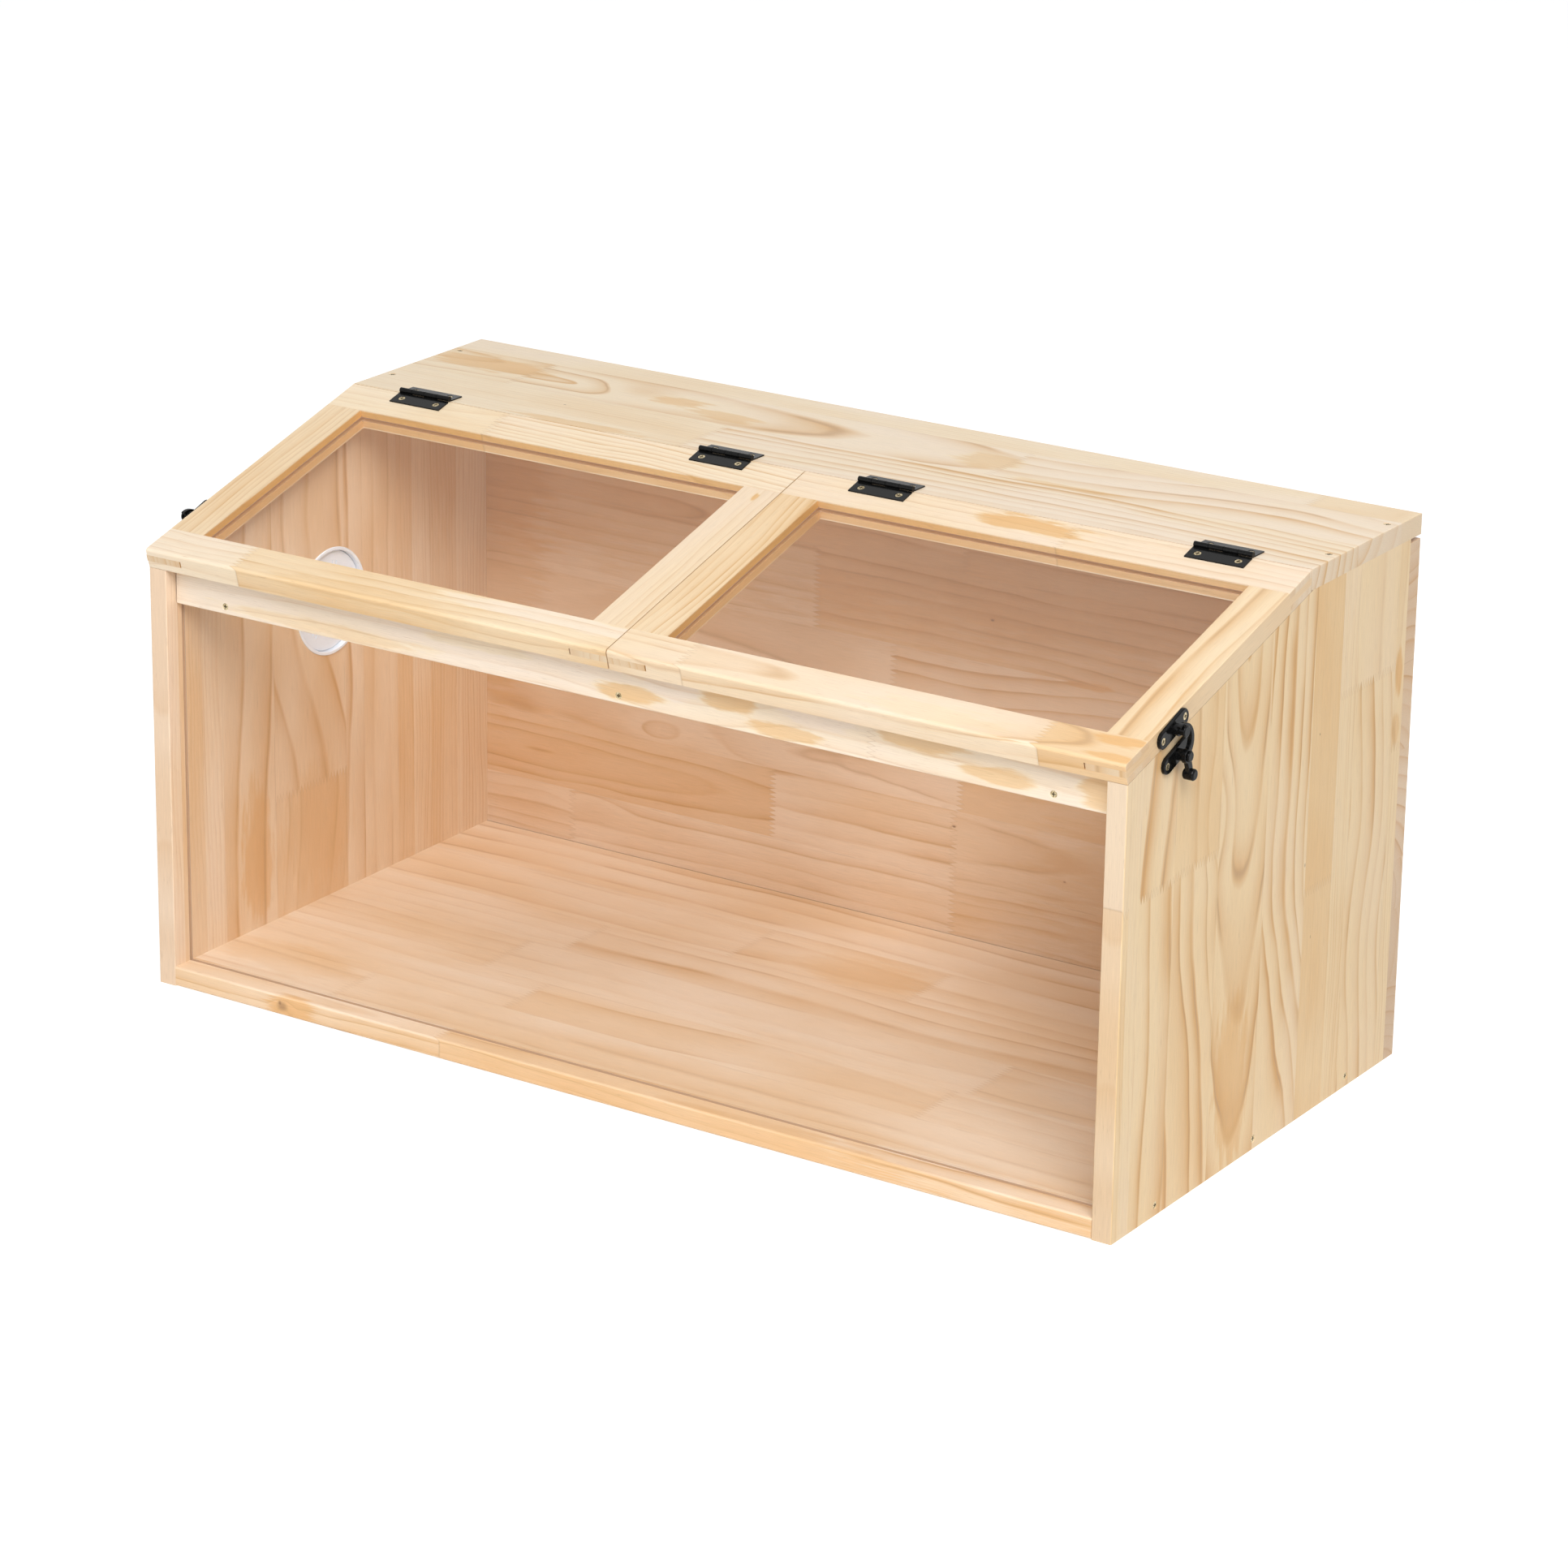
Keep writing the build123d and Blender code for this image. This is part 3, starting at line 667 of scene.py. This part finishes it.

# Back: courses of cathedral figure, deeper in tone towards the top, partly as painted shade under
# the top panel, and painted shade in the lower right corner
dress(
    pine(
        "pine_back",
        level(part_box("back_panel")[0].y, 0, Z_AXIS, 400),
        [
            course(
                57,
                figure(0.4, 0.4, -40, 10, 0, 10),
                figure(0.3, 0.5, 70, 10, 0, 12),
                figure(0.5, 0.4, -30, 10, 0, 9),
                joints=(-300, 45),
            ),
            course(
                112,
                figure(0.62, 0.7, 84, 30, 0.09, 12),
                figure(0.35, 0.6, 130, 12, 0, 13),
                figure(0.45, 0.5, 90, 14, 0.06, 12),
                joints=(-115, 45),
            ),
            course(
                150,
                figure(0.34, 0.6, 130, 24, -0.05, 11),
                figure(0.45, 0.5, 120, 14, 0.05, 14),
                joints=(50,),
            ),
            course(
                230,
                figure(0.4, 0.6, 210, 24, -0.04, 13),
                figure(0.45, 0.75, 120, 14, 0.05, 12),
                joints=(-10,),
                sway=((-400, -10), (-200, 12), (0, -4), (200, 10), (400, -6)),
            ),
            course(
                295,
                figure(0.5, 0.6, 330, 10, 0, 12),
                figure(0.6, 0.8, 200, 12, 0.03, 12),
                joints=(-78,),
            ),
            course(
                340,
                figure(0.55, 0.6, 300, 14, 0.04, 12),
                figure(0.6, 0.7, 270, 14, -0.04, 12),
                joints=(50,),
            ),
            course(
                400,
                figure(0.6, 0.6, 340, 20, 0.05, 13),
                figure(0.5, 0.6, 440, 10, 0, 11),
                joints=(120,),
            ),
        ],
        [
            spot(50, -285, 20, 50, push=8),
            spot(120, -225, 18, 40, push=-7),
            spot(100, 42, 3, 5, push=3, dark=0.8),
            spot(77, 137, 3, 5, push=3, dark=0.7),
            spot(265, 70, 3, 5, push=4, dark=0.7),
            spot(230, 150, 3, 26, tone=0.6),
            # Painted shade in the lower right corner, where the right side shades the back: a
            # deeper tone and a darkening
            spot(70, 300, 130, 210, tone=0.15),
            spot(50, 240, 380, 560, dark=0.33),
            # Painted shade along the top, under the top panel: a deeper tone and a darkening
            spot(320, 0, 90, 700, tone=0.18),
            spot(345, 80, 340, 1500, dark=0.1),
            spot(300, -380, 200, 60, tone=0.25),
        ],
        tint=WARM,
    ),
    "back_panel",
)

# Upper rail: cream with small orange loops
rail_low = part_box("upper_front_rail")[0]
dress(
    pine(
        "pine_upper_rail",
        level(rail_low.y, rail_low.z, Z_AXIS, 30),
        [
            course(
                30,
                figure(0.1, 0.35, 60, 14, 0.02, 9),
                figure(0.12, 0.45, 70, 14, -0.05, 11),
                joints=(205,),
                sway=((-400, 0), (-60, 6), (60, -8), (160, 4), (400, -4)),
            ),
        ],
        [
            spot(9, 8, 7, 30, tone=0.7),
            spot(19, 88, 9, 26, tone=0.6),
            spot(6, 135, 6, 34, tone=0.55),
            spot(20, 45, 9, 24, tone=-0.3),
            spot(22, 160, 9, 36, tone=-0.3),
            spot(20, 240, 8, 36, tone=0.5),
            spot(9, 300, 7, 34, tone=0.55),
            spot(14, 378, 16, 22, tone=0.6),
            spot(6, -250, 6, 110, tone=0.35),
            spot(20, -120, 6, 60, tone=0.3),
        ],
        tint=(1.03, 1.09, 1.26),
    ),
    "upper_front_rail",
)

# Lid frames, with places counted up the slope from their front
normal = max(nodes["right_lid_pane"].data.polygons, key=lambda face: face.area).normal.copy()
normal *= math.copysign(1, normal.z)
UPHILL = normal.cross(X_AXIS)
LID_DEPTH = 252.8
FRAME_WIDTH = 30
REAR_RAIL_WIDTH = 32
HALF_GAP = 0.5
RAIL_OPENING = (FRAME_WIDTH, LID_DEPTH - REAR_RAIL_WIDTH)
STILE_OPENING = (FRAME_WIDTH + HALF_GAP, HALF - FRAME_WIDTH)
rear_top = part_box("right_lid_rear_rail")[1]
lid_corner = Vector((0, rear_top.y, rear_top.z)) - UPHILL * LID_DEPTH * MM
lid_rails = Board(lid_corner, X_AXIS, UPHILL, LID_DEPTH, -HALF, 2 * HALF)
lid_stiles = Board(lid_corner - X_AXIS * HALF * MM, UPHILL, X_AXIS, 2 * HALF, 0, LID_DEPTH)
dress(
    pine(
        "pine_left_lid_rails",
        lid_rails,
        [
            course(
                120,
                figure(0.08, 0.3, -30, 10, 0, 7),
                figure(0.42, 0.45, -14, 10, 0, 9),
                joints=(-318,),
            ),
            course(
                LID_DEPTH,
                figure(0.25, 0.2, 300, 10, 0, 8),
                figure(0.08, 0.55, 290, 10, 0, 5),
                joints=(-255,),
                sway=((-400, 0), (-120, 4), (0, -3)),
            ),
        ],
        [
            spot(22, -60, 9, 110, tone=-0.4),
            spot(6, -220, 8, 90, tone=0.15),
        ],
        tint=CREAM,
        edge_tone=0.12,
        openings=RAIL_OPENING,
    ),
    "left_lid_front_rail",
    "left_lid_rear_rail",
)
dress(
    pine(
        "pine_right_lid_rails",
        lid_rails,
        [
            course(
                120,
                figure(0.15, 0.45, 60, 12, 0, 9),
                figure(0.12, 0.5, 14, 14, 0.05, 10),
                figure(0.6, 0.8, 10, 30, 0.08, 9),
                joints=(60, 335),
                sway=((0, 0), (100, 3), (200, -3), (300, 3)),
            ),
            course(
                LID_DEPTH,
                figure(0.15, 0.35, 300, 10, 0, 6),
                figure(0.1, 0.35, 200, 10, 0, 7),
                joints=(226,),
            ),
        ],
        [
            spot(241, 190, 11, 52, tone=0.8),
            spot(10, 250, 12, 60, tone=0.2),
            spot(24, 385, 6, 24, tone=0.5),
            spot(6, 388, 5, 22, tone=0.4),
        ],
        tint=(0.99, 1.0, 1.08),
        edge_tone=0.12,
        openings=RAIL_OPENING,
    ),
    "right_lid_front_rail",
    "right_lid_rear_rail",
)
dress(
    pine(
        "pine_lid_stiles",
        lid_stiles,
        [
            course(200, figure(0.3, 0.45, -60, 10, 0, 5)),
            course(HALF, figure(0.1, 0.3, 420, 12, 0, 8)),
            course(600, figure(0.35, 0.7, 380, 10, 0, 7), sway=((0, 0), (120, 3), (250, -1))),
            course(2 * HALF, figure(0.3, 0.7, 840, 10, 0, 14)),
        ],
        [
            spot(HALF - FRAME_WIDTH / 2, 210, 3, 8, tone=0.9),
        ],
        tint=(0.96, 0.95, 0.97),
        edge_tone=0.12,
        openings=[HALF + turn * place for turn in (-1, 1) for place in STILE_OPENING],
    ),
    *[name for name in nodes if name.endswith("stile")],
)


# Clear sheets: see-through, with more sheen towards a glancing view. The margin that sits in
# the grooves is painted in the colour of the lit wood seen through the sheet, and glows with
# painted light.
SHEET = (0.9, 0.88, 0.85, 1.0)
MARGIN = (0.62, 0.42, 0.27, 1.0)


def acrylic(name, across, opening_low, opening_high, corner, painted_edge_glow):
    """A sheet whose opening has two corners, as distances to the side of the cage's middle and
    along the across axis."""
    t = Tree(new_material(name))
    here = t.from_corner(corner)
    x = t.size_of(t.times(t.dot(here, X_AXIS), 1 / MM))
    height = t.times(t.dot(here, across), 1 / MM)
    outside = t.larger(t.minus(x, opening_high[0]), t.minus(opening_low[0], x))
    outside = t.larger(outside, t.minus(height, opening_high[1]))
    outside = t.larger(outside, t.minus(opening_low[1], height))
    margin = t.smooth(outside, -0.2, 0.4)
    facing = t.node("LayerWeight", {"Blend": 0.5}).outputs["Facing"]
    cover = t.larger(t.smooth(facing, 0.3, 1.0, 0.012, 0.12), t.times(margin, 0.9))
    color = t.mix(margin, SHEET, MARGIN)
    inputs = {"Base Color": color, "Roughness": 0.06, "Alpha": cover}
    # The margin's glow is painted light, as if light came through the sheet's edge
    inputs.update({"Emission Color": color, "Emission Strength": t.times(margin, painted_edge_glow)})
    return t.finish(t.node("BsdfPrincipled", inputs))


lid_opening = zip(STILE_OPENING, RAIL_OPENING)
dress(
    acrylic("lid_acrylic", UPHILL, *lid_opening, lid_corner, painted_edge_glow=0.35),
    "left_lid_pane",
    "right_lid_pane",
)
# The window's opening spans the cage's middle, so its first corner lies past it
floor_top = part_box("floor_panel")[1].z
window_opening = (-1, floor_top / MM), (inner_x / MM, rail_low.z / MM)
window_corner = Vector((0, front_y, 0))
dress(
    acrylic("window_acrylic", Z_AXIS, *window_opening, window_corner, painted_edge_glow=0.14),
    "front_window",
)


# Hardware
BLACK, WORN_BLACK = (0.003, 0.003, 0.003, 1.0), (0.008, 0.008, 0.008, 1.0)
DULL_ZINC, BRIGHT_ZINC = (0.34, 0.26, 0.14, 1.0), (0.72, 0.60, 0.38, 1.0)
# The colour of the painted shade in the screws' recesses
RECESS_SHADE = (0.03, 0.02, 0.015, 1.0)
MILKY, WHITE = (0.82, 0.87, 0.94, 1.0), (0.88, 0.92, 0.98, 1.0)


def clouded(name, scale):
    """A plain material's tree and its fine noise over the object."""
    t = Tree(new_material(name))
    return t, t.noise(t.node("TexCoord").outputs["Object"], scale, 3.0)


def coated_metal():
    t, grit = clouded("black_coated_metal", 900.0)
    rough = t.smooth(grit, 0.3, 0.7, 0.09, 0.18)
    color = t.mix(t.smooth(grit, 0.35, 0.75), BLACK, WORN_BLACK)
    bump = t.node("Bump", {"Strength": 0.12, "Distance": 0.0002, "Height": grit}).outputs[0]
    inputs = {"Base Color": color, "Roughness": rough, "Normal": bump, "Specular IOR Level": 0.14}
    return t.finish(t.node("BsdfPrincipled", inputs))


def plated_steel():
    t, wear = clouded("yellow_plated_steel", 500.0)
    color = t.mix(t.smooth(wear, 0.35, 0.65), DULL_ZINC, BRIGHT_ZINC)
    # Painted shade: the colour darkens where ambient occlusion finds a recess, in the cross and
    # round the head's rim
    open_sky = t.node("AmbientOcclusion", {"Distance": 0.002}, samples=8).outputs["AO"]
    color = t.mix(t.smooth(open_sky, 0.35, 0.85, 0.94, 0.0), color, RECESS_SHADE)
    rough = t.smooth(wear, 0.3, 0.7, 0.2, 0.34)
    inputs = {"Base Color": color, "Roughness": rough, "Metallic": 1.0}
    return t.finish(t.node("BsdfPrincipled", inputs))


def white_plastic():
    t, cloud = clouded("white_plastic", 60.0)
    inputs = {"Base Color": t.mix(cloud, MILKY, WHITE), "Roughness": 0.22}
    return t.finish(t.node("BsdfPrincipled", inputs))


screws = [name for name in nodes if name.endswith("screws")]
hinges = [name for name in nodes if name.endswith(("leaf", "pin"))]
latches = [name for name in nodes if "latch" in name and name not in screws]
dress(coated_metal(), *hinges, *latches)
dress(plated_steel(), *screws)
dress(white_plastic(), "vent_sleeve", "vent_cap")


# Stage: a white floor that keeps the cage's shadow, soft lamps and the camera
FLOOR_HALF = 6.0
FLOOR_DROP = 0.0002
FLOOR_GLOW = 0.80
SEEN_GREY = 0.46
LIT_GREY = 0.8
WORLD_LEVEL = 0.30
LAMP_AIM = (0, 0, 0.2)


def white_stage():
    """White where it is seen, and a plain pale grey for the light that it throws on the cage."""
    t = Tree(new_material("white_stage"))
    ray = t.node("LightPath").outputs
    seen = t.larger(ray["Is Glossy Ray"], ray["Is Transmission Ray"])
    seen = t.larger(ray["Is Camera Ray"], seen)
    matt = t.node("BsdfDiffuse", {"Color": (*grey(LIT_GREY), 1.0)}).outputs[0]
    dim = t.node("BsdfDiffuse", {"Color": (*grey(SEEN_GREY), 1.0)}).outputs[0]
    glow = t.node("Emission", {"Color": (*grey(1.0), 1.0), "Strength": FLOOR_GLOW}).outputs[0]
    bright = t.node("AddShader", {0: dim, 1: glow}).outputs[0]
    return t.finish(t.node("MixShader", {0: seen, 1: matt, 2: bright}))


def add_floor():
    mesh = bpy.data.meshes.new("floor")
    corners = [(x * FLOOR_HALF, y * FLOOR_HALF, 0) for x, y in ((-1, -1), (1, -1), (1, 1), (-1, 1))]
    mesh.from_pydata(corners, [], [(0, 1, 2, 3)])
    mesh.materials.append(white_stage())
    floor = bpy.data.objects.new("floor", mesh)
    floor.location.z = -FLOOR_DROP
    bpy.context.scene.collection.objects.link(floor)


def add_world():
    """White where it is seen or mirrored, and dimmer as a light."""
    t = Tree(bpy.data.worlds.new("studio"))
    ray = t.node("LightPath").outputs
    direct = t.larger(ray["Is Camera Ray"], ray["Is Glossy Ray"])
    level = t.node("MapRange", {0: direct, 3: WORLD_LEVEL, 4: 1.0}).outputs[0]
    background = t.node("Background", {"Color": (*grey(1.0), 1.0), "Strength": level})
    bpy.context.scene.world = t.finish(background, "OutputWorld")


def add_lamp(name, place, size, power):
    light = bpy.data.lights.new(name, "AREA")
    light.size = size
    light.energy = power
    lamp = bpy.data.objects.new(name, light)
    lamp.location = place
    lamp.rotation_euler = (Vector(LAMP_AIM) - Vector(place)).to_track_quat("-Z", "Y").to_euler()
    bpy.context.scene.collection.objects.link(lamp)


# The camera's pose, and its lens in pixels of a square picture. The principal point gives the
# lens shift.
PICTURE = 1932
FOCAL_LENGTH = 6516.37
PRINCIPAL_POINT = (792.18, 879.65)
CAMERA_AZIMUTH, CAMERA_ELEVATION, CAMERA_ROLL = 34.566, 18.81, 0.317
CAMERA_FROM_FRONT = Vector((1.93311707, -2.76518039, 1.43551502))


def add_camera():
    azimuth, elevation, roll = map(math.radians, (CAMERA_AZIMUTH, CAMERA_ELEVATION, CAMERA_ROLL))
    level = Vector((-math.sin(azimuth), math.cos(azimuth), 0)) * math.cos(elevation)
    forward = level + Vector((0, 0, -math.sin(elevation)))
    right = forward.cross(Vector((0, 0, 1))).normalized()
    up = right.cross(forward)
    camera_x = math.cos(roll) * right + math.sin(roll) * up
    camera_y = math.cos(roll) * up - math.sin(roll) * right
    data = bpy.data.cameras.new("camera")
    data.lens = FOCAL_LENGTH / PICTURE * data.sensor_width
    data.shift_x = 0.5 - PRINCIPAL_POINT[0] / PICTURE
    data.shift_y = PRINCIPAL_POINT[1] / PICTURE - 0.5
    camera = bpy.data.objects.new("camera", data)
    turn = Matrix((camera_x, camera_y, -forward)).transposed().to_4x4()
    place = CAMERA_FROM_FRONT + Vector((0, front_y, 0))
    camera.matrix_world = Matrix.Translation(place) @ turn
    bpy.context.scene.collection.objects.link(camera)
    bpy.context.scene.camera = camera


add_floor()
add_world()
add_lamp("key", (1.9, -2.4, 3.4), size=2.8, power=200)
add_lamp("front", (-0.8, -3.8, 0.9), size=3.0, power=25)
add_camera()
bpy.context.scene.view_settings.view_transform = "Standard"
